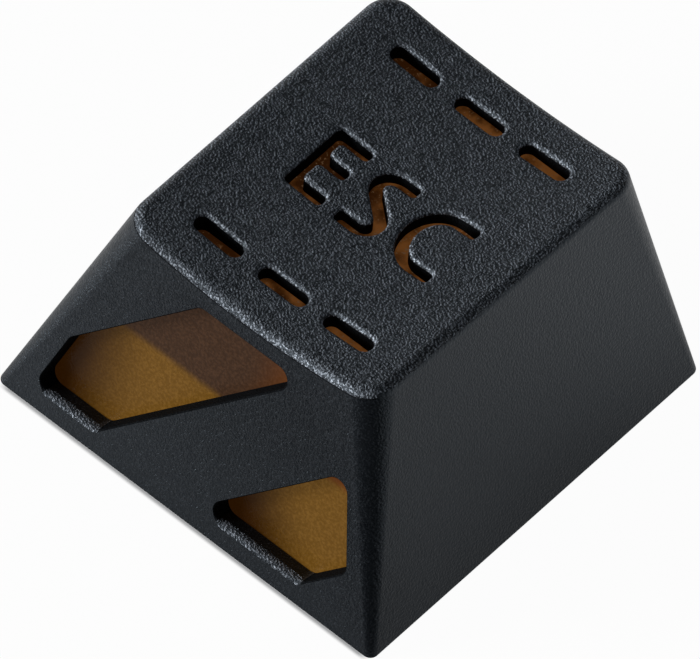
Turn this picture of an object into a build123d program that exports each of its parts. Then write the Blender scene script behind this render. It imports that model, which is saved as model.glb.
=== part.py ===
from build123d import *
import os
from math import cos, radians, tan

# Outer form in mm: +X right, +Y back, +Z up, origin at the middle of the base
base_width = 18.1
base_depth = 18.1
rim_height = 10.3
side_slope = 16.66
front_slope = 14.79
back_slope = 4.93
top_tilt = 0.67
dish_depth = 0.475
rim_radius = 0.46
base_corner_radius = 0.35
top_corner_radius = 1.25
base_edge_break = 0.12

# Shell walls: the top is thinnest along the bottom of the dish
shell_wall = 0.85
top_thickness = 0.76
cavity_corner_radius = 0.4

# Front windows: two slanted stripes, trimmed by an even margin on the front face
stripe_width = 3.6
stripe_gap = 3.6
stripe_angle = 47.5
stripe_shift = 1.7
window_side_margin = 1.27
window_base_margin = 1.05
window_top_margin = 1.47
window_corner_radius = 0.5

# Light slots: one row along the front of the top and one along the back
slot_length = 2.2
slot_width = 0.7
slot_pitch = 3.1
slots_in_row = 3
slot_rim_distance = 1.9

# Amber insert: fills the shell, hollow below, with the stem post in the middle
bond_gap = 0.05
insert_lift = 0.4
insert_wall = 0.7
insert_corner_radius = 0.35
hollow_corner_radius = 0.5
hollow_height = 4.85

# Stem post and its cross-shaped socket
stem_radius = 2.8
stem_lift = 0.5
socket_length = 4.1
socket_bar_across = 1.3
socket_bar_along = 1.1
socket_depth = 3.9
socket_lead_in = 0.2

# Places that follow from the sizes above
side_lean = radians(side_slope)
front_lean = radians(front_slope)
back_lean = radians(back_slope)
rim_half_width = base_width / 2 - rim_height * tan(side_lean)
rim_front = -base_depth / 2 + rim_height * tan(front_lean)
rim_back = base_depth / 2 - rim_height * tan(back_lean)
dish_radius = (rim_half_width**2 + dish_depth**2) / (2 * dish_depth)
dish_floor = rim_height - dish_depth
ceiling_height = dish_floor - top_thickness
stock_height = rim_height + rim_radius
front_face_height = rim_height / cos(front_lean)


def wall_section(height, inset, corner_radius):
    """Rounded rectangle where the four leaning walls, moved in by inset, cross a height."""
    half_width = base_width / 2 - height * tan(side_lean) - inset / cos(side_lean)
    front = -base_depth / 2 + height * tan(front_lean) + inset / cos(front_lean)
    back = base_depth / 2 - height * tan(back_lean) - inset / cos(back_lean)
    with BuildSketch(Plane.XY.offset(height)) as section:
        with Locations((0, (front + back) / 2)):
            RectangleRounded(2 * half_width, back - front, corner_radius)
    return section.sketch


# Outer shell: a four-sided block with rounded corners that widen towards the top
block_foot = wall_section(0, base_edge_break, base_corner_radius)
block_base = wall_section(base_edge_break, 0, base_corner_radius)
block_top = wall_section(stock_height, 0, top_corner_radius)
cavity_base = wall_section(0, shell_wall, cavity_corner_radius)
cavity_top = wall_section(ceiling_height, shell_wall, cavity_corner_radius)
front_face = Plane((0, -base_depth / 2, 0), (1, 0, 0), (0, -1, tan(front_lean)))
dish_end = Plane((0, rim_front, dish_floor), (1, 0, 0), (0, -1, tan(radians(top_tilt))))

with BuildPart() as shell:
    loft([block_foot, block_base, block_top], ruled=True)

    # The dish is a long cylinder laid across the top, and its rim is rolled over
    with BuildSketch(dish_end):
        with Locations((0, dish_radius)):
            Circle(dish_radius)
    extrude(amount=base_depth, both=True, mode=Mode.SUBTRACT)
    dish = shell.faces().filter_by(GeomType.CYLINDER)[0]
    fillet(dish.edges(), rim_radius)

    # The inside follows the outer walls
    loft([cavity_base, cavity_top], ruled=True, mode=Mode.SUBTRACT)

    # Windows: both stripes, cut down to the part of the face inside the margins
    window_bottom = window_base_margin
    window_top = front_face_height - window_top_margin
    edge_lean = cos(front_lean) * tan(side_lean)
    bottom_half = base_width / 2 - window_bottom * edge_lean - window_side_margin
    top_half = base_width / 2 - window_top * edge_lean - window_side_margin
    stripe_middle = Location((stripe_shift, (window_bottom + window_top) / 2, 0), stripe_angle)
    with BuildSketch(front_face) as windows:
        with Locations(stripe_middle):
            with GridLocations(0, stripe_width + stripe_gap, 1, 2):
                Rectangle(base_width + front_face_height, stripe_width)
        with BuildLine():
            Polyline(
                (-bottom_half, window_bottom),
                (bottom_half, window_bottom),
                (top_half, window_top),
                (-top_half, window_top),
                close=True,
            )
        make_face(mode=Mode.INTERSECT)
        fillet(windows.vertices(), window_corner_radius)
    extrude(amount=-2 * shell_wall, mode=Mode.SUBTRACT)

    # Light slots through the dished top
    with BuildSketch(Plane.XY.offset(ceiling_height)):
        with Locations((0, rim_front + slot_rim_distance), (0, rim_back - slot_rim_distance)):
            with GridLocations(slot_pitch, 0, slots_in_row, 1):
                SlotOverall(slot_length, slot_width)
    extrude(amount=stock_height - ceiling_height, mode=Mode.SUBTRACT)

shell.part.label = "outer_shell"

# Amber insert: bonded into the shell, its crown against the shell's ceiling
insert_inset = shell_wall + bond_gap
hollow_inset = insert_inset + insert_wall
insert_base = wall_section(insert_lift, insert_inset, insert_corner_radius)
insert_top = wall_section(ceiling_height, insert_inset, insert_corner_radius)
hollow_base = wall_section(insert_lift, hollow_inset, hollow_corner_radius)
hollow_top = wall_section(hollow_height, hollow_inset, hollow_corner_radius)

with BuildPart() as insert:
    loft([insert_base, insert_top], ruled=True)
    loft([hollow_base, hollow_top], ruled=True, mode=Mode.SUBTRACT)

    # Stem post, with the two crossed slots that grip the switch
    with BuildSketch(Plane.XY.offset(stem_lift)):
        Circle(stem_radius)
    extrude(amount=hollow_height - stem_lift)
    with BuildSketch(Plane.XY.offset(stem_lift)):
        Rectangle(socket_length, socket_bar_along)
        Rectangle(socket_bar_across, socket_length)
    extrude(amount=socket_depth, mode=Mode.SUBTRACT)
    socket_mouth = insert.edges(Select.LAST).group_by(Axis.Z)[0]
    chamfer(socket_mouth, socket_lead_in)

insert.part.label = "amber_insert"

os.makedirs("parts", exist_ok=True)
export_step(shell.part, "parts/outer_shell.step")
export_step(insert.part, "parts/amber_insert.step")
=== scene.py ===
# %% [markdown]
# # A dished keycap over an amber insert
# A keycap is the loose cap that presses onto a key switch. This one has two pieces. The outer one is a black
# metal shell, milled from a block and then blasted with grit. Inside it sits a block of translucent amber
# resin, which shows through two slanted windows in front and through the cut-outs in the top.
# The solids come from the CAD model and stay where they are. The shell is drawn again here with softened
# edges and the legend, because its thin bright edges are what the eye reads first.

# %% The frame
from math import cos, pi, radians, sin, tan

import bpy
import numpy as np
from mathutils import Matrix, Vector
from mathutils.geometry import delaunay_2d_cdt


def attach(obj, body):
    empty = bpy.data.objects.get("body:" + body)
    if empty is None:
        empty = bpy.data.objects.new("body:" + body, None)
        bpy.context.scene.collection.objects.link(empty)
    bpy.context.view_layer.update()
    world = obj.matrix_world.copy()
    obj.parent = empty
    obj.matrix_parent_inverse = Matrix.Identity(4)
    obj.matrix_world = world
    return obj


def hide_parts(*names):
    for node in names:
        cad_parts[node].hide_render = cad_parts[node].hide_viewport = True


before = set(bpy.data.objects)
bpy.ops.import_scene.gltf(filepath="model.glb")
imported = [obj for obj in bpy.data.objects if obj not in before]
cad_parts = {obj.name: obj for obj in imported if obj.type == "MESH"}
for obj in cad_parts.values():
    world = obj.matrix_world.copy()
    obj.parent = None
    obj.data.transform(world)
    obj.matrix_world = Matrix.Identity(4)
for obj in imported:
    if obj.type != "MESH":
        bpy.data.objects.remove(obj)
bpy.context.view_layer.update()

scene = bpy.context.scene
scene.view_settings.view_transform = "Standard"
print("nodes:", sorted(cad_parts))

# %% [markdown]
# ## Sizes
# These are the sizes of the solid shell, in millimetres, with the front towards -Y and the origin in the
# middle of the base. The lips are only drawn here: they say how far the edges of the cut-outs are softened.
# Everything is worked out in millimetres and turned into metres when a mesh is made.

# %% Sizes in millimetres
MM = 0.001
base_size = 18.1
rim_height = 10.3
side_lean = radians(16.66)
front_lean = radians(14.79)
back_lean = radians(4.93)
top_tilt = radians(0.67)
dish_depth = 0.475
rim_radius = 0.46
base_corner, top_corner = 0.35, 1.25
foot_break = 0.12
wall, top_thickness = 0.85, 0.76
cavity_corner = 0.4
top_lip, window_lip, sill_lip = 0.17, 0.05, 0.22

rim_half = base_size / 2 - rim_height * tan(side_lean)
rim_front = -base_size / 2 + rim_height * tan(front_lean)
rim_back = base_size / 2 - rim_height * tan(back_lean)
dish_radius = (rim_half**2 + dish_depth**2) / (2 * dish_depth)
ceiling = rim_height - dish_depth - top_thickness
stock_height = rim_height + rim_radius
print(f"rim {2 * rim_half:.2f} wide, from {rim_front:.2f} to {rim_back:.2f}, dish radius {dish_radius:.1f}")

# %% [markdown]
# ## Camera
# The photograph was taken from a good way off with a long lens, so the edges stay almost parallel. The three
# angles and the scale come from fitting the cap's outline to the picture.

# %% Camera
azimuth, elevation, roll = radians(36.534), radians(53.502), radians(5.971)
target, distance = Vector((0.5425, -0.9203, 4.2139)), 1005.44
sensor, lens = 36, 1436.4

away = Vector((sin(azimuth) * cos(elevation), -cos(azimuth) * cos(elevation), sin(elevation)))
level = Vector((0, 0, 1)).cross(away).normalized()
upright = away.cross(level)
right = level * cos(roll) + upright * sin(roll)
up = upright * cos(roll) - level * sin(roll)

camera = bpy.data.objects.new("camera", bpy.data.cameras.new("camera"))
scene.collection.objects.link(camera)
scene.camera = camera
camera.data.sensor_width, camera.data.lens = sensor, lens
camera.data.clip_start, camera.data.clip_end = 0.01, 10
camera.matrix_world = Matrix((right, up, away)).transposed().to_4x4()
camera.location = target * MM + away * (distance * MM)
print("camera at", [round(c, 3) for c in camera.location])

# %% [markdown]
# ## Outlines of the walls
# At every height the four leaning walls make a rectangle with rounded corners. Each outline has the same
# number of points in the same order, so two outlines can be joined point by point. The corners widen
# towards the top, which gives the cap its soft shoulders over a crisp base.

# %% Outlines of the walls
CORNER, LONG, SHORT = 12, 28, 6


def outline(height, inset, radius):
    """Where the walls, moved in by inset, cross a height: its points, and their normals in plan."""
    half = base_size / 2 - height * tan(side_lean) - inset / cos(side_lean)
    front = -base_size / 2 + height * tan(front_lean) + inset / cos(front_lean)
    back = base_size / 2 - height * tan(back_lean) - inset / cos(back_lean)
    side, near, far = half - radius, front + radius, back - radius
    points, normals = [], []
    for centre, start in (((-side, near), 180), ((side, near), 270), ((side, far), 0), ((-side, far), 90)):
        for step in range(CORNER + 1):
            angle = radians(start + 90 * step / CORNER)
            normals.append((cos(angle), sin(angle)))
            points.append(np.add(centre, np.multiply(radius, normals[-1])))
    loop, bend = [], []
    for k, steps in enumerate((LONG, SHORT, LONG, SHORT)):
        corner = slice(k * (CORNER + 1), (k + 1) * (CORNER + 1))
        loop += points[corner]
        bend += normals[corner]
        here, there = points[corner][-1], points[((k + 1) % 4) * (CORNER + 1)]
        for step in range(1, steps):
            loop.append(here + (there - here) * step / steps)
            bend.append(normals[corner][-1])
    return np.array(loop), np.array(bend)


def raised(points, height):
    """Points in plan, lifted to a height."""
    return np.c_[points, np.broadcast_to(height, len(points))]


low_plan, wall_plan_normals = outline(foot_break, 0, base_corner)
high_plan, _ = outline(stock_height, 0, top_corner)
wall_low = raised(low_plan, foot_break)
wall_high = raised(high_plan, stock_height)
count = len(wall_low)
front_run = np.arange(CORNER, CORNER + LONG + 1)
round_run = np.arange(CORNER + LONG, count + CORNER + 1) % count
print(count, "points in each outline,", len(front_run), "of them along the front")

# %% [markdown]
# ## The rolled rim
# The top is dished like part of a long cylinder, so a fingertip settles in the middle. Where the dish meets
# a wall the edge is rolled over with an even radius. For each wall line the sharp meeting point is found
# first, and then an arc that leaves the wall and reaches the dish without a crease.

# %% The rolled rim
RIM = 9


def unit(v):
    return v / np.linalg.norm(v, axis=-1, keepdims=True)


def dish(x, y):
    """Height of the dished top."""
    lowest = rim_height - dish_depth - (y - rim_front) * tan(top_tilt)
    return lowest + dish_radius - np.sqrt(dish_radius**2 - x**2)


def dish_normal(x, y):
    relief_shade = x / np.sqrt(dish_radius**2 - x**2)
    return unit(np.stack([-relief_shade, np.full_like(x, tan(top_tilt)), np.ones_like(x)], -1))


def meeting_points(rounds=8):
    """Where the wall lines meet the dish, found by going to the dish's height again and again."""
    height = np.full(count, rim_height)
    for _ in range(rounds):
        share = (height - foot_break) / (stock_height - foot_break)
        points = wall_low + (wall_high - wall_low) * share[:, None]
        height = dish(points[:, 0], points[:, 1])
    return points


down = unit(wall_low - wall_high)
along = np.c_[-wall_plan_normals[:, 1], wall_plan_normals[:, 0], np.zeros(count)]
wall_normals = unit(np.cross(down, along))
wall_normals *= np.sign((wall_normals[:, :2] * wall_plan_normals).sum(1))[:, None]

edge = meeting_points()
short_step = 0.01
nearby = edge[:, :2] - short_step * wall_plan_normals
inward = unit(raised(nearby, dish(nearby[:, 0], nearby[:, 1])) - edge)
half_angle = np.arccos((down * inward).sum(1)) / 2
reach = (rim_radius / np.tan(half_angle))[:, None]
rim_centre = edge + unit(down + inward) * (rim_radius / np.sin(half_angle))[:, None]
rim_low = edge + down * reach
rim_top = edge + inward * reach
rim_top[:, 2] = dish(rim_top[:, 0], rim_top[:, 1])
rim_rings = [rim_low]
for share in np.linspace(0, 1, RIM)[1:-1]:
    outward = unit((rim_low - rim_centre) * (1 - share) + (rim_top - rim_centre) * share)
    rim_rings.append(rim_centre + rim_radius * outward)
rim_rings.append(rim_top)
print("rim rises to", round(max(r[:, 2].max() for r in rim_rings), 3))

# %% [markdown]
# ## Outlines of the cut-outs
# A small cutter leaves every corner of a cut-out round. An outline is given by its corners and one radius,
# and walks round the opening with the metal on its right. A curved stroke is a line that is thickened to both
# sides. Curve objects could do this too, but here each point also needs the direction of the metal beside it,
# because the edge is softened that way later on. The first cut-outs are two rows of slots, along the front
# and the back of the top.

# %% Outlines of the cut-outs
TURN, ROUND_TURN = 6, 10
END_TRIM = 1.2
slot_length, slot_width, slot_pitch, slot_rim_distance = 2.2, 0.7, 3.1, 1.9
hair = 0.001


def rounded(corners, radius, steps=TURN):
    """A closed outline whose corners are arcs of one radius, with normals that point into the metal."""
    corners = np.array(corners, float)
    points, normals = [], []
    for before, corner, after in zip(np.roll(corners, 1, 0), corners, np.roll(corners, -1, 0)):
        come, leave = unit(corner - before), unit(after - corner)
        turn = np.arctan2(come[0] * leave[1] - come[1] * leave[0], come @ leave)
        side = np.sign(turn)
        normal = np.array([come[1], -come[0]])
        middle = corner - come * radius * tan(abs(turn) / 2) - side * radius * normal
        for angle in np.linspace(0, turn, steps + 1):
            swung = np.array([[cos(angle), -sin(angle)], [sin(angle), cos(angle)]]) @ normal
            points.append(middle + side * radius * swung)
            normals.append(swung)
    return np.array(points), np.array(normals)


def stroke(line, width, radius=0.16):
    """The outline of a line thickened to an even width, with square ends and softened corners."""
    line = np.array(line)
    run = unit(np.gradient(line, axis=0))
    left = np.c_[-run[:, 1], run[:, 0]]
    sides = ((line - left * width / 2, -left), (line[::-1] + left[::-1] * width / 2, left[::-1]))
    trim = END_TRIM * radius
    both_corners = slice(TURN + 1, 3 * (TURN + 1))
    points, normals = [], []
    for (side, bend), (other, _) in (sides, sides[::-1]):
        gone = np.r_[0, np.linalg.norm(np.diff(side, axis=0), axis=1).cumsum()]
        kept = (gone > trim) & (gone < gone[-1] - trim)
        ends, bends = rounded([side[-2], side[-1], other[0], other[1]], radius)
        points += [side[kept], ends[both_corners]]
        normals += [bend[kept], bends[both_corners]]
    return np.concatenate(points), np.concatenate(normals)


def arc(x, y, radius_x, radius_y, start, end, steps=24):
    angles = np.radians(np.linspace(start, end, steps + 1))
    return np.c_[x + radius_x * np.cos(angles), y + radius_y * np.sin(angles)]


def slot(x, y):
    """A slot about its middle. Its ends are a hair short of half circles, so each side keeps a length."""
    half_length, half_width = slot_length / 2, slot_width / 2
    corners = [
        (x - half_length, y - half_width), (x + half_length, y - half_width),
        (x + half_length, y + half_width), (x - half_length, y + half_width),
    ]
    return rounded(corners, half_width - hair, ROUND_TURN)


slot_rows = (rim_front + slot_rim_distance, rim_back - slot_rim_distance)
slots = [slot(x, y) for y in slot_rows for x in (-slot_pitch, 0, slot_pitch)]
print(len(slots), "slots")

# %% [markdown]
# ## The legend
# The middle of the top carries a plain key legend, milled right through with one cutter. Its strokes have
# about one width. The E is a polygon, and the S and the C are strokes along arcs. A text object would bring a
# font's own outline; drawing the strokes keeps the width and the round corners that the cutter leaves.

# %% The legend
pen = 0.52
foot_line, head_line = -0.86, 2.32
low_line, high_line = foot_line + pen / 2, head_line - pen / 2
middle_line = (low_line + high_line) / 2

e_left, e_stem = -3.21, -2.74
e_foot_end, e_arm_end, e_head_end = -1.47, -1.6, -1.54
e_arm, e_head, e_corner = 0.59, 1.82, 0.2
legend_e = rounded(
    [
        (e_left, foot_line), (e_foot_end, foot_line),
        (e_foot_end, foot_line + pen), (e_stem, foot_line + pen),
        (e_stem, e_arm), (e_arm_end, e_arm), (e_arm_end, e_arm + pen), (e_stem, e_arm + pen),
        (e_stem, e_head), (e_head_end, e_head), (e_head_end, head_line), (e_left, head_line),
    ],
    e_corner,
)

s_half, s_bowl = 0.63, 0.56
s_head_end, s_foot_end = 0.74, -0.84
s_rise = high_line - s_bowl - middle_line
s_slant = np.degrees(np.arcsin(s_bowl / s_rise))
s_upper = arc(0, middle_line + s_rise, s_half, s_bowl, 90, 180 + s_slant)
s_lower = arc(0, middle_line - s_rise, s_half, s_bowl, s_slant, -90)
legend_s = stroke(np.r_[[(s_head_end, high_line)], s_upper, s_lower, [(s_foot_end, low_line)]], pen)

c_middle, c_half = 2.72, 1.11
c_head_end, c_foot_end = 3.58, 3.6
c_back = arc(c_middle, middle_line, c_half, high_line - middle_line, 90, 270, 40)
legend_c = stroke(np.r_[[(c_head_end, high_line)], c_back, [(c_foot_end, low_line)]], pen)

legend = [legend_e, legend_s, legend_c]
print("legend has", sum(len(p) for p, _ in legend), "outline points")

# %% [markdown]
# ## The slanted windows
# Two stripes run aslant across the front face. They are cut down to the part of the face inside an even
# margin, which is why each window has one slanted end and one that follows the edge of the face. The work is
# done flat, on the face itself: one direction along the base, the other up the slope.

# %% The slanted windows
stripe, gap, stripe_angle, shift = 3.6, 3.6, radians(47.5), 1.7
side_margin, base_margin, top_margin, window_corner = 1.27, 1.05, 1.47, 0.5
window_top = rim_height / cos(front_lean) - top_margin
narrowing = cos(front_lean) * tan(side_lean)


def clip(polygon, point, normal):
    """The part of a convex polygon behind a line."""
    kept = []
    for a, b in zip(polygon, np.roll(polygon, -1, 0)):
        da, db = (a - point) @ normal, (b - point) @ normal
        if da <= 0:
            kept.append(a)
        if da * db < 0:
            kept.append(a + (b - a) * da / (da - db))
    return np.array(kept)


def half_at(v):
    """Half the width of the field inside the margins, so far up the face."""
    return base_size / 2 - v * narrowing - side_margin


field = np.array(
    [
        (-half_at(base_margin), base_margin), (half_at(base_margin), base_margin),
        (half_at(window_top), window_top), (-half_at(window_top), window_top),
    ]
)
across = np.array([-sin(stripe_angle), cos(stripe_angle)])
windows = []
for which in (-1, 1):
    stripe_middle = np.array([shift, (base_margin + window_top) / 2]) + across * which * (stripe + gap) / 2
    window = clip(field, stripe_middle + across * stripe / 2, across)
    window = clip(window, stripe_middle - across * stripe / 2, -across)
    windows.append(rounded(window, window_corner, ROUND_TURN))


def on_front(flat, depth=0.0):
    """Points on the front face, sunk straight into it by a depth."""
    u, v = flat[:, 0], flat[:, 1]
    y = -base_size / 2 + v * sin(front_lean) + depth * cos(front_lean)
    return np.stack([u, y, v * cos(front_lean) - depth * sin(front_lean)], -1)


front_normal = np.array([0, -cos(front_lean), sin(front_lean)])
print("windows with", [len(p) for p, _ in windows], "points")

# %% [markdown]
# ## A skin of patches
# The shell is gathered patch by patch into one skin. A strip joins two outlines of equal length. A fill
# covers a region around its holes with triangles that are worked out on the flat. Every point carries its
# true normal, so the softened edges shade smoothly and the flat faces stay flat.

# %% A skin of patches
CLEARANCE, SAME_POINT, TINY = 0.6, 1e-7, 1e-12


def inside(points, loop):
    """Which points lie inside a closed outline."""
    a, b = loop[None], np.roll(loop, -1, 0)[None]
    x, y = points[:, None, 0], points[:, None, 1]
    rise = b[..., 1] - a[..., 1]
    cross = a[..., 0] + (y - a[..., 1]) * (b[..., 0] - a[..., 0]) / np.where(rise == 0, TINY, rise)
    hits = ((a[..., 1] > y) != (b[..., 1] > y)) & (x < cross)
    return hits.sum(1) % 2 == 1


class Skin:
    """Points, normals and faces of one piece, in millimetres."""

    def __init__(self):
        self.points, self.normals, self.wear_and_highlight = np.zeros((0, 3)), np.zeros((0, 3)), np.zeros(0)
        self.faces, self.finishes = [], []

    def add(self, points, normals, wear_and_highlight=0.0):
        """Adds points with their normals and their wear, which on the rim and the sills is partly a painted
        highlight, and returns their numbers.
        """
        first = len(self.points)
        self.points = np.r_[self.points, points]
        self.normals = np.r_[self.normals, np.broadcast_to(normals, points.shape)]
        self.wear_and_highlight = np.r_[self.wear_and_highlight, np.broadcast_to(wear_and_highlight, len(points))]
        return np.arange(first, len(self.points))

    def strip(self, first, second, finish, closed=True):
        """Joins two outlines point by point. Seen from its outer side, with the second outline above the
        first, the outlines run from left to right."""
        pairs = zip(first, np.roll(first, -1), np.roll(second, -1), second)
        faces = [tuple(int(i) for i in face) for face in pairs]
        faces = faces if closed else faces[:-1]
        self.faces += faces
        self.finishes += np.broadcast_to(finish, len(first))[: len(faces)].tolist()

    def fill(self, loops, finish, flip=False, spacing=0, lift=None):
        """Covers the inside of the first loop, around the other loops. A loop is its points' numbers and
        their flat places. With a spacing, lift() also gives points and normals in between."""
        numbers = np.concatenate([n for n, _ in loops])
        flat = np.concatenate([f for _, f in loops])
        ends = np.cumsum([0] + [len(n) for n, _ in loops])
        edges = []
        for start, end in zip(ends, ends[1:]):
            edges += [(i, i + 1 if i + 1 < end else start) for i in range(start, end)]
        if spacing:
            low, high = flat.min(0), flat.max(0)
            rows = np.mgrid[low[0] : high[0] : spacing, low[1] : high[1] : spacing].reshape(2, -1).T
            rows = rows[self._within(rows, loops)]
            nearest = np.linalg.norm(rows[:, None] - flat[None], axis=-1).min(1)
            rows = rows[nearest > CLEARANCE * spacing]
            numbers = np.r_[numbers, self.add(*lift(rows))]
            flat = np.r_[flat, rows]
        made = delaunay_2d_cdt([Vector(p) for p in flat], edges, [], 0, SAME_POINT)
        spots, triangles, origins = np.array(made[0]), made[2], made[3]
        middles = np.array([spots[list(t)].mean(0) for t in triangles])
        for triangle, kept in zip(triangles, self._within(middles, loops)):
            if kept:
                face = tuple(int(numbers[origins[i][0]]) for i in triangle)
                self.faces.append(face[::-1] if flip else face)
                self.finishes.append(finish)

    def _within(self, points, loops):
        kept = inside(points, loops[0][1])
        for _, hole in loops[1:]:
            kept &= ~inside(points, hole)
        return kept

    def mesh(self, name, materials):
        """The finished object."""
        made = bpy.data.meshes.new(name)
        made.from_pydata((self.points * MM).tolist(), [], self.faces)
        for material in materials:
            made.materials.append(material)
        made.polygons.foreach_set("material_index", self.finishes)
        made.polygons.foreach_set("use_smooth", [True] * len(made.polygons))
        made.normals_split_custom_set_from_vertices(self.normals.tolist())
        made.attributes.new("wear_and_highlight", "FLOAT", "POINT").data.foreach_set("value", self.wear_and_highlight)
        piece = bpy.data.objects.new(name, made)
        scene.collection.objects.link(piece)
        return piece


print("skin ready")

# %% [markdown]
# ## Cutting through a face
# Every cut-out starts with a softened lip, a quarter of an oval that turns from the face into the wall of
# the opening. Blasting wears such an edge pale, and it catches the light. The wall then runs straight to the
# inner face, out of the grit's reach, and stays matt black. A bevel modifier would soften all edges alike.
# Here the lip may change along one outline: a window's upper and slanted edges are crisp, and only its level
# sill is wide and deep, and painted pale, partly as wear and partly as a painted highlight.

# %% Cutting through a face
BLASTED, SATIN, MATT = 0, 1, 2
LIP = 6


def cut(skin, shape, lips, place, face_normal, end, end_normal):
    """Adds a lip and a wall, and returns the loop on the face and the opening's flat outline.
    lips(facing) gives each point's lip width, its depth in widths, its wear, partly a painted highlight on
    the sills, and both finishes.
    place(flat, depth) and end(flat) give points on the face and at the wall's far end.
    face_normal(flat) gives the face's normals, and end_normal(sideways) the way into the metal."""
    points, sideways = shape
    into_metal = end_normal(sideways)
    width, deep, wear_and_highlight, lip_finish, wall_finish = lips(-into_metal)
    ring = None
    for angle in np.radians(np.linspace(0, 90, LIP + 1)):
        flat = points + sideways * np.reshape(width, (-1, 1)) * (1 - sin(angle))
        facing = face_normal(flat) * cos(angle) / deep - into_metal * sin(angle)
        spots = place(flat, width * deep * (1 - cos(angle)))
        numbers = skin.add(spots, unit(facing), wear_and_highlight * sin(2 * angle))
        if ring is None:
            outer = (numbers, flat)
        else:
            skin.strip(ring, numbers, lip_finish)
        ring = numbers
    wall_start = skin.add(skin.points[ring], -into_metal)
    wall_end = skin.add(end(points), -into_metal)
    skin.strip(wall_start, wall_end, wall_finish)
    return outer, points


print("lips of", LIP, "steps")

# %% [markdown]
# ## The openings
# The slots and the legend are cut straight down through the dished top, and the windows straight into the
# front wall. In the top all lips are worn alike. In a window the lip widens where its wall faces up.

# %% The openings
top_wear, sill_wear_and_highlight = 1.35, 1.1
round_lip, oval_lip = 1, 2
sill_edge, sill_start = 8, 0.3
shell = Skin()


def on_top(flat, depth=0.0):
    """Points on the dish, sunk straight down by a depth."""
    return np.stack([flat[:, 0], flat[:, 1], dish(flat[:, 0], flat[:, 1]) - depth], -1)


def top_normal(flat):
    return dish_normal(flat[:, 0], flat[:, 1])


def top_lips(facing):
    """The lips in the top, the same all round."""
    return top_lip, round_lip, top_wear, BLASTED, MATT


def window_lips(facing):
    """A window's lips: wide, deep, blasted and painted pale where the wall faces up, partly as wear and
    partly as a painted highlight, and narrow and matt elsewhere.
    """
    upward = np.clip(facing[:, 2], 0, 1) ** sill_edge
    wide = upward > sill_start
    # Painted highlight and wear: only the sill, where the wall faces up, is worn pale.
    width = window_lip + (sill_lip - window_lip) * upward
    return width, oval_lip, sill_wear_and_highlight * upward, np.where(wide, BLASTED, MATT), np.where(wide, SATIN, MATT)


top_holes, ceiling_holes = [], []
for shape in slots + legend:
    outer, flat = cut(
        shell, shape, top_lips, on_top, top_normal,
        lambda points: raised(points, ceiling), lambda sideways: raised(sideways, 0),
    )
    top_holes.append(outer)
    ceiling_holes.append((shell.add(raised(flat, ceiling), (0, 0, -1)), flat))

front_holes, back_holes = [], []
for shape in windows:
    outer, flat = cut(
        shell, shape, window_lips, on_front, lambda points: np.broadcast_to(front_normal, (len(points), 3)),
        lambda points: on_front(points, wall), lambda sideways: on_front(sideways) - on_front(0 * sideways),
    )
    front_holes.append(outer)
    back_holes.append((shell.add(on_front(flat, wall), -front_normal), flat))
print(len(top_holes), "openings in the top,", len(front_holes), "in the front")

# %% [markdown]
# ## The outside of the shell
# The skin goes from the rounded foot up the walls, over the rim and across the dish. The front wall and the
# dish are fills around their openings. The dish gets extra points inside, so that its shallow curve is
# followed everywhere. A pale band is painted along the rim, partly as wear where it is touched most and
# partly as a painted highlight where the lamp catches it: it is full along the front and the back, weak on
# the left, and on the right its lower part is left almost black as painted shade. Elsewhere a thin matt line
# below the rim parts it from the satin walls.

# %% The shell: outside
FOOT = 6
highlight_middle, highlight_spread = 0.35, 0.24
side_gain, side_start = 2.2, 1.2
right_rim_unlit, left_rim_unlit = 0.95, 0.8
right_wall, black_steps = 0.77, 2
dish_spacing = 0.5

low = shell.add(wall_low, wall_normals)
foot = low
foot_radius = (foot_break / (1 + wall_normals[:, 2]))[:, None]
foot_centre = wall_low - foot_radius * wall_normals
for angle in np.linspace(0, pi / 2, FOOT)[1:]:
    facing = unit(wall_normals * cos(angle) - (0, 0, sin(angle)))
    below = shell.add(foot_centre + foot_radius * facing, facing)
    shell.strip(below, foot, SATIN)
    foot = below

sideward = wall_plan_normals[:, 0]


def faces_side(sign):
    """How far the rim has turned to the right or the left: nought before its corner, one along its wall."""
    return np.clip(side_gain * sign * sideward - side_start, 0, 1)


# Painted highlight and wear: the rim's pale band is full in front and behind, weak on the left and nearly
# gone on the right.
touched_and_lit = 1 - right_rim_unlit * faces_side(1) - left_rim_unlit * faces_side(-1)
rings = []
for step, ring in enumerate(rim_rings):
    facing = unit(ring - rim_centre)
    if ring is rim_low:
        facing = wall_normals
    if ring is rim_top:
        facing = top_normal(ring[:, :2])
    wear_and_highlight_band = np.exp(-(((step / (RIM - 1) - highlight_middle) / highlight_spread) ** 2))
    rings.append(shell.add(ring, facing, touched_and_lit * wear_and_highlight_band))
shell.strip(low[round_run], rings[0][round_run], SATIN, closed=False)
for step in range(RIM - 1):
    # Painted shade: the lower right rim keeps the dark satin finish.
    right_rim_dark = (sideward >= right_wall) & (step <= black_steps)
    shell.strip(rings[step], rings[step + 1], np.where(right_rim_dark, SATIN, BLASTED if step else MATT))


def flat_front(numbers):
    """The loop of points on the front face, in the face's own directions."""
    return shell.points[numbers][:, [0, 2]] / (1, cos(front_lean))


front_loop = np.r_[low[front_run], rings[0][front_run][::-1]]
shell.fill([(front_loop, flat_front(front_loop))] + front_holes, SATIN)
shell.fill(
    [(rings[-1], rim_top[:, :2])] + top_holes, BLASTED,
    spacing=dish_spacing, lift=lambda flat: (on_top(flat), top_normal(flat)),
)
print(len(shell.faces), "faces outside")

# %% [markdown]
# ## The inside of the shell
# Inside, the walls follow the outer ones at an even thickness, up to a flat ceiling. The openings come
# through the ceiling and the front wall, so these two are fills again, with the same outlines as their holes.
# A flat ring below closes the skin, and the shell becomes one closed body.

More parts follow.
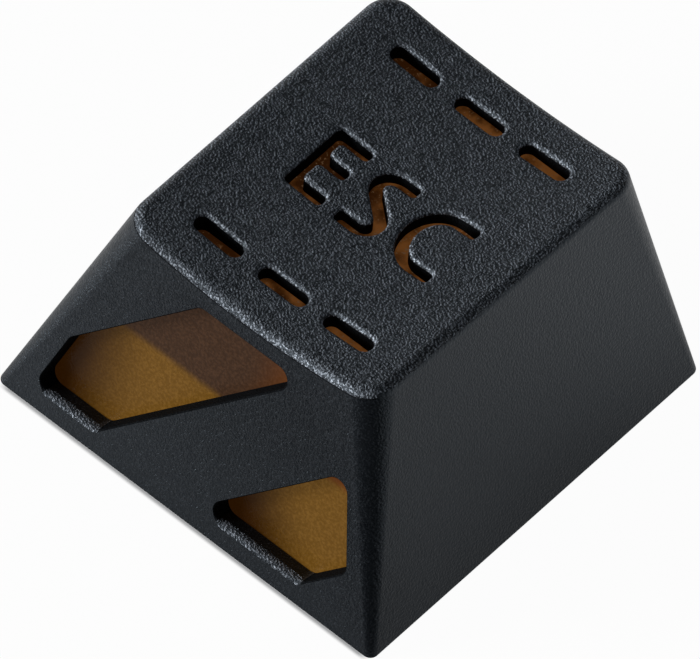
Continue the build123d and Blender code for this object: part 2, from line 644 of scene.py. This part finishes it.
# %% The shell: inside and base
cavity_low, cavity_bend = outline(0, wall, cavity_corner)
cavity_high, _ = outline(ceiling, wall, cavity_corner)
lining = raised(cavity_low, 0), raised(cavity_high, ceiling)
lining_normals = unit(np.cross(unit(lining[0] - lining[1]), along))
lining_normals *= -np.sign((lining_normals[:, :2] * cavity_bend).sum(1))[:, None]
inner_low, inner_high = (shell.add(ring, lining_normals) for ring in lining)
shell.strip(inner_high[round_run], inner_low[round_run], SATIN, closed=False)
inner_loop = np.r_[inner_low[front_run], inner_high[front_run][::-1]]
inner_flat = shell.points[inner_loop][:, [0, 2]] + (0, wall * sin(front_lean))
shell.fill([(inner_loop, inner_flat / (1, cos(front_lean)))] + back_holes, SATIN, flip=True)
base_inner = shell.add(lining[0], (0, 0, -1))
shell.strip(base_inner, foot, SATIN)
shell.fill([(shell.add(lining[1], (0, 0, -1)), cavity_high)] + ceiling_holes, SATIN, flip=True)
print(len(shell.faces), "faces in all")

# %% [markdown]
# ## Shader arithmetic
# Materials are built from shader nodes. A small class lets a shader value be added, multiplied and so on as
# if it were a number. Any other node goes through one method, with its settings first and then what goes
# into its sockets.

# %% Shader arithmetic
class Value:
    """An output of a shader node that can be used in sums."""

    def __init__(self, tree, socket):
        self.tree, self.socket = tree, socket

    def _sum(self, operation, one, other):
        return self.tree.node("ShaderNodeMath", {"operation": operation}, {0: one, 1: other})

    def __add__(self, other):
        return self._sum("ADD", self, other)

    def __radd__(self, other):
        return self._sum("ADD", other, self)

    def __sub__(self, other):
        return self._sum("SUBTRACT", self, other)

    def __rsub__(self, other):
        return self._sum("SUBTRACT", other, self)

    def __mul__(self, other):
        return self._sum("MULTIPLY", self, other)

    def __rmul__(self, other):
        return self._sum("MULTIPLY", other, self)

    def __truediv__(self, other):
        return self._sum("DIVIDE", self, other)

    def __pow__(self, other):
        return self._sum("POWER", self, other)

    def most(self, other):
        return self._sum("MAXIMUM", self, other)

    def ramp(self, start, end, low=0.0, high=1.0):
        """Goes softly from low to high while this value goes from start to end."""
        settings = {"interpolation_type": "SMOOTHSTEP"}
        return self.tree.node("ShaderNodeMapRange", settings, {0: self, 1: start, 2: end, 3: low, 4: high})


class Tree:
    """The shader nodes of a material or of the world."""

    def __init__(self, owner):
        owner.use_nodes = True
        self.nodes, self.links = owner.node_tree.nodes, owner.node_tree.links
        self.nodes.clear()

    def node(self, kind, settings, sockets, output=0):
        """Adds a node and returns one of its outputs."""
        made = self.nodes.new(kind)
        for name, setting in settings.items():
            setattr(made, name, setting)
        for name, value in sockets.items():
            if isinstance(value, Value):
                self.links.new(value.socket, made.inputs[name])
            else:
                made.inputs[name].default_value = value
        return Value(self, made.outputs[output]) if len(made.outputs) else None

    def place(self):
        """The place on the object, in millimetres."""
        spot = self.node("ShaderNodeTexCoord", {}, {}, "Object")
        return self.node("ShaderNodeVectorMath", {"operation": "SCALE"}, {0: spot, "Scale": 1 / MM})

    def axes(self, vector):
        """The three parts of a vector."""
        return [self.node("ShaderNodeSeparateXYZ", {}, {0: vector}, axis) for axis in range(3)]

    def noise(self, place, scale, detail=2.0):
        """Cloudy noise with that many lumps in a millimetre."""
        return self.node("ShaderNodeTexNoise", {}, {"Vector": place, "Scale": scale, "Detail": detail})

    def mix(self, share, one, other):
        """A colour between two."""
        return self.node("ShaderNodeMix", {"data_type": "RGBA"}, {0: share, 6: one, 7: other}, 2)

    def bump(self, height, depth):
        """The normal of a surface that rises with height, by so many millimetres."""
        return self.node("ShaderNodeBump", {}, {"Strength": 1.0, "Distance": depth * MM, "Height": height})


def new_tree(name):
    material = bpy.data.materials.new(name)
    return material, Tree(material)


print("shader arithmetic ready")

# %% [markdown]
# ## Black metal, blasted, satin and matt
# The shell is aluminium, blasted and then anodised black. Its top and its edges were blasted with coarse
# grit, the walls with fine grit, and the cut walls hardly at all. Each grain is painted paler on one side,
# along the line of the lamp, as painted shading of its relief. The difference between a noise and the same
# noise a little way off finds these sides, and small facets of random brightness break them up. Bump alone
# gives too soft a grain at this size, so it only carries the gloss. Where the wear is high the grains come
# out brighter and the bump is flatter; on the rim and the sills this wear also carries a painted highlight.

# %% Black metal, blasted, satin and matt
pale_grain, cool_gloss = (0.43, 0.475, 0.54, 1), (0.7, 0.85, 1, 1)
relief_light_offset, grain_detail, facets_per_grain = (0.035, 0.035, 0), 1.5, 1.3
relief_shade_share, facet_share = 0.95, 0.13
spark_start, spark_full, spark_power = -0.08, 0.28, 1.5
wear_and_highlight_sparks, wear_and_highlight_paler, worn_rougher, worn_metal, worn_flatter = 0.2, 0.05, 0.1, 0.3, 0.8
cloud_size, cloud_share = 0.35, 0.003
gloss_size, gloss_spread = 0.7, 0.2
mid_value = 0.5


def black_metal(name, colour, grain, depth, paler, roughness, gloss):
    """Black anodised metal whose grains are so many to a millimetre, so deep, and so much paler on top."""
    material, tree = new_tree(name)
    place = tree.place()
    wear_and_highlight = tree.node("ShaderNodeAttribute", {"attribute_name": "wear_and_highlight"}, {}, "Fac")
    # Painted shade: the grains are paler on one side along the lamp's line, like a relief in the lamp's
    # light.
    beside = tree.node("ShaderNodeVectorMath", {"operation": "ADD"}, {0: place, 1: relief_light_offset})
    relief_shade = tree.noise(place, grain, grain_detail) - tree.noise(beside, grain, grain_detail)
    facets = {"Vector": place, "Scale": facets_per_grain * grain}
    facet = tree.node("ShaderNodeTexVoronoi", {}, facets, "Color")
    chance = tree.node("ShaderNodeSeparateColor", {}, {0: facet}, 0)
    sparks = relief_shade * relief_shade_share + (chance - mid_value) * facet_share
    sparks = sparks.ramp(spark_start, spark_full) ** spark_power
    cloud = (tree.noise(place, cloud_size) - mid_value) * cloud_share
    # Painted highlight and wear: where the wear is high the grains and the base come out paler.
    share = sparks * (paler + wear_and_highlight_sparks * wear_and_highlight) + wear_and_highlight_paler * wear_and_highlight + cloud
    unevenness = (tree.noise(place, gloss_size * grain, 1.0) - mid_value) * gloss_spread
    lumps = (tree.noise(place, grain) - mid_value) * (1 - worn_flatter * wear_and_highlight).most(1 - worn_flatter)
    tree.node(
        "ShaderNodeOutputMaterial", {},
        {
            "Surface": tree.node(
                "ShaderNodeBsdfPrincipled", {},
                {
                    "Base Color": tree.mix(share, colour, pale_grain),
                    "Roughness": roughness + worn_rougher * wear_and_highlight + unevenness,
                    "Metallic": sparks * wear_and_highlight * worn_metal,
                    "Specular IOR Level": gloss,
                    "Specular Tint": cool_gloss,
                    "Normal": tree.bump(lumps, depth),
                },
            )
        },
    )
    return material


blasted = black_metal(
    "black_blasted", (0.0035, 0.0042, 0.0052, 1),
    grain=11.5, depth=0.16, paler=0.9, roughness=0.36, gloss=0.32,
)
satin = black_metal(
    "black_satin", (0.0024, 0.003, 0.0041, 1),
    grain=11.0, depth=0.038, paler=0.028, roughness=0.34, gloss=0.36,
)
matt = black_metal(
    "black_matt", (0.003, 0.0034, 0.004, 1),
    grain=12.0, depth=0.1, paler=0.01, roughness=0.8, gloss=0.04,
)
cap = shell.mesh("keycap_shell", [blasted, satin, matt])
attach(cap, "root")
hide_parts("outer_shell")
print("shell has", len(cap.data.polygons), "faces")

# %% [markdown]
# ## Amber resin
# The insert is cast resin. Below the roof of its hollow the wall is thin and light comes through, which is
# painted as a golden colour. Above, the resin is solid and looks brown, and redder towards the right. Each
# window's left end is painted darker, as painted shade where the window's left wall shades the resin. In the
# right window this painted shade leans, and reaches further near the base. The crown, seen through the top,
# is a deep orange with painted light, lighter towards the right, and small pale specks that are painted
# glints.
# True scattering inside the solid would need many samples and is lost in an export. So the light that comes
# through is drawn as a glow in the resin's own colour, and in the windows the surface itself is darker.

# %% Amber resin
golden, pale_golden = (0.094, 0.044, 0.0055, 1), (0.133, 0.065, 0.011, 1)
brown, pale_brown, russet = (0.03, 0.0145, 0.0075, 1), (0.049, 0.0238, 0.0122, 1), (0.1, 0.029, 0.005, 1)
left_shade_amber, black = (0.0147, 0.004, 0.0003, 1), (0, 0, 0, 1)
deep_orange, orange, crown_glint = (0.145, 0.044, 0.008, 1), (0.74, 0.262, 0.06, 1), (0.6, 0.32, 0.15, 1)
mottle_size, mottle_detail, speck_size, speck_depth = 1.2, 3.0, 9.0, 0.012
pale_span, glint_span, orange_span, crown_light_slope = (0.35, 0.75), (0.58, 0.75), (0.35, 0.7), 0.05
hollow_roof, roof_blur, roof_unevenness = 4.9, 0.22, 0.15
crown_span, front_span, russet_span, between_windows = (8.9, 9.0), (-5, -3), (0, 3.4), (1.5, 2.5)
left_window_end, right_window_end = -6.9, 0.9
# How far the painted shade at each window's left end reaches, how dark it gets and how it leans.
left_shade_length, left_shade_most, left_shade_slant, slant_height = 3.6, 0.95, 0.5, 3.0
body_dark, crown_dark, glow_strength = 0.5, 0.897, 0.9
amber_roughness, roughness_spread, amber_gloss = 0.3, 0.3, 0.1

amber, tree = new_tree("amber_resin")
place = tree.place()
rightward, backward, upward = tree.axes(place)
mottle = tree.noise(place, mottle_size, mottle_detail)
specks = tree.noise(place, speck_size)
grainy = specks.ramp(*pale_span)

# Painted shade: each window's left end is darkened where the window's left wall shades the resin.
right_window = (cos(stripe_angle) * upward - sin(stripe_angle) * rightward).ramp(*between_windows, 1, 0)
slanted = right_window_end - left_window_end - left_shade_slant * (upward - slant_height)
left_end = left_window_end + right_window * slanted
in_front = backward.ramp(*front_span, 1, 0)
left_end_shade = (rightward - left_end).ramp(0, left_shade_length, left_shade_most, 0) * in_front

# Painted light: below the hollow's roof the resin is painted golden for the light that comes through the thin
# wall.
thin = tree.mix(left_end_shade, tree.mix(grainy, golden, pale_golden), left_shade_amber)
solid = tree.mix(rightward.ramp(*russet_span), tree.mix(grainy, brown, pale_brown), russet)
roof = upward + (mottle - mid_value) * roof_unevenness
colour = tree.mix(roof.ramp(hollow_roof - roof_blur, hollow_roof + roof_blur), thin, solid)
# Painted light: the crown is painted lighter towards the right.
crown = tree.mix((mottle + rightward * crown_light_slope).ramp(*orange_span), deep_orange, orange)
# Painted glints: small pale specks on the crown.
crown = tree.mix(specks.ramp(*glint_span), crown, crown_glint)
on_crown = upward.ramp(*crown_span)
tree.node(
    "ShaderNodeOutputMaterial", {},
    {
        "Surface": tree.node(
            "ShaderNodeBsdfPrincipled", {},
            {
                "Base Color": tree.mix(on_crown, tree.mix(body_dark, colour, black), crown),
                "Roughness": amber_roughness + (mottle - mid_value) * roughness_spread,
                "Specular IOR Level": amber_gloss,
                "Emission Color": tree.mix(on_crown, colour, tree.mix(crown_dark, crown, black)),
                "Emission Strength": glow_strength,
                "Normal": tree.bump(specks, speck_depth),
            },
        )
    },
)
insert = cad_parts["amber_insert"]
insert.data.materials.clear()
insert.data.materials.append(amber)
print("amber on", insert.name)

# %% [markdown]
# ## The table
# The cap stands on a plain white table. To the camera and in reflections the table glows by itself, so that
# it looks white without any more light on the cap. To all other light it is an ordinary pale surface, and a
# small share of that stays visible. Close to the front edge of the cap the glow is taken away in a thin line,
# so that the pale surface shows almost alone there: a painted shadow where the rounded foot lifts off the
# table.

# %% The table
table_half, table_glow = 2000, 0.97
shadow_depth, shadow_start, shadow_stop, shadow_half = 0.9, (-0.16, 0.02), (0.15, 0.25), (8.37, 8.94)


def seen(tree):
    """One for rays from the camera and for reflections, nought for the light that falls on things."""
    kinds = ("Is Camera Ray", "Is Glossy Ray", "Is Transmission Ray")
    camera_ray, glossy_ray, clear_ray = (tree.node("ShaderNodeLightPath", {}, {}, kind) for kind in kinds)
    return camera_ray.most(glossy_ray).most(clear_ray)


def square(name, half, height, material):
    """A flat square about the middle of the cap, in millimetres."""
    made = bpy.data.meshes.new(name)
    corners = ((-half, -half), (half, -half), (half, half), (-half, half))
    made.from_pydata([(x * MM, y * MM, height * MM) for x, y in corners], [], [(0, 1, 2, 3)])
    made.materials.append(material)
    piece = bpy.data.objects.new(name, made)
    scene.collection.objects.link(piece)
    return piece


white, tree = new_tree("white_table")
east, north, _ = tree.axes(tree.place())
# Painted shadow: a thin grey line along the front edge of the cap's foot.
past_edge = north + base_size / 2
painted_shadow = past_edge.ramp(*shadow_start, 0, shadow_depth) * past_edge.ramp(*shadow_stop, 1, 0)
painted_shadow = painted_shadow * (east * east).ramp(*np.square(shadow_half).tolist(), 1, 0)
plain = tree.node("ShaderNodeBsdfDiffuse", {}, {"Color": (0.8, 0.8, 0.8, 1)})
bright = tree.node("ShaderNodeEmission", {}, {"Color": (1, 1, 1, 1), "Strength": 1.0})
white_share = seen(tree) * (table_glow - painted_shadow)
tree.node(
    "ShaderNodeOutputMaterial", {},
    {"Surface": tree.node("ShaderNodeMixShader", {}, {0: white_share, 1: plain, 2: bright})},
)
floor = square("table", table_half, 0, white)
print("table ready")

# %% [markdown]
# ## A card for the reflections
# Black satin metal shows little but what it mirrors, and its walls mirror the table. A photographer lays
# dark card on the table to shade a wall off softly and to draw a dark line down a corner. This card is black
# far in front and off the front right corner, half clear around the cap, and almost clear behind it. Only
# reflections see it.

# %% A card for the reflections
card_half, card_height = 400, 0.05
corner_east, corner_south = 0.72, 0.69

dark, tree = new_tree("dark_card")
east, north, _ = tree.axes(tree.place())
front_half = north.ramp(2, 16, 0.38, 0)
far_front = north.ramp(-30, -12, 0.62, 0)
middle_strip = east.ramp(-12, 3, -0.1, 0.2) - east.ramp(9.5, 15, 0, 0.2)
off_corner = corner_east * east - corner_south * north
aligned = off_corner / (east * east + north * north) ** 0.5
corner_line = aligned.ramp(0.8, 0.92) * off_corner.ramp(12, 15, 0, 0.5)
shade = front_half + far_front + middle_strip + corner_line
ink = tree.node("ShaderNodeBsdfDiffuse", {}, {"Color": (0.02, 0.02, 0.02, 1)})
clear = tree.node("ShaderNodeBsdfTransparent", {}, {"Color": (1, 1, 1, 1)})
tree.node(
    "ShaderNodeOutputMaterial", {},
    {"Surface": tree.node("ShaderNodeMixShader", {}, {0: shade, 1: clear, 2: ink})},
)
card = square("card", card_half, card_height, dark)
card.visible_camera = card.visible_diffuse = card.visible_shadow = False
print("card ready")

# %% [markdown]
# ## The room
# A weak, slightly cool light comes from all round. In reflections the room is bright only at the level of the
# table and dark above, as in a studio with one lamp, so the dished top keeps its depth. Behind the cap on the
# right the bright band reaches higher, and there it lights the side of the rolled rim.

# %% The room
room_colour, room_strength = (0.88, 0.93, 1, 1), 0.12
band, band_bright, band_dark = 0.06, 1.0, 0.08
lift, lift_east, lift_north, lift_span = 0.3, 0.88, 0.48, (0.7, 0.95)

world = bpy.data.worlds.new("studio")
scene.world = world
tree = Tree(world)
east, north, climb = tree.axes(tree.node("ShaderNodeTexCoord", {}, {}, "Generated"))
lifted = climb - (lift_east * east + lift_north * north).ramp(*lift_span, 0, lift)
glow = lifted.ramp(0, band, band_bright, band_dark)
dim = tree.node("ShaderNodeBackground", {}, {"Color": room_colour, "Strength": room_strength})
pale = tree.node("ShaderNodeBackground", {}, {"Color": glow, "Strength": 1.0})
tree.node(
    "ShaderNodeOutputWorld", {},
    {"Surface": tree.node("ShaderNodeMixShader", {}, {0: seen(tree), 1: dim, 2: pale})},
)
print("room ready")

# %% [markdown]
# ## The lamp
# One soft square lamp stands low, in front and to the left. It grazes the top, so every grain and every edge
# that faces the lamp lights up, and the cut walls that face away stay black.

# %% The lamp
toward_lamp = Vector((-0.66, -0.7, 0.28)).normalized()
lamp_distance, lamp_size, lamp_power = 400, 140, 1.82
lit_height = 5

light = bpy.data.lights.new("key", "AREA")
light.size, light.energy = lamp_size * MM, lamp_power
lamp = bpy.data.objects.new("key", light)
scene.collection.objects.link(lamp)
lamp.location = Vector((0, 0, lit_height * MM)) + toward_lamp * (lamp_distance * MM)
lamp.rotation_mode = "QUATERNION"
lamp.rotation_quaternion = toward_lamp.to_track_quat("Z", "Y")
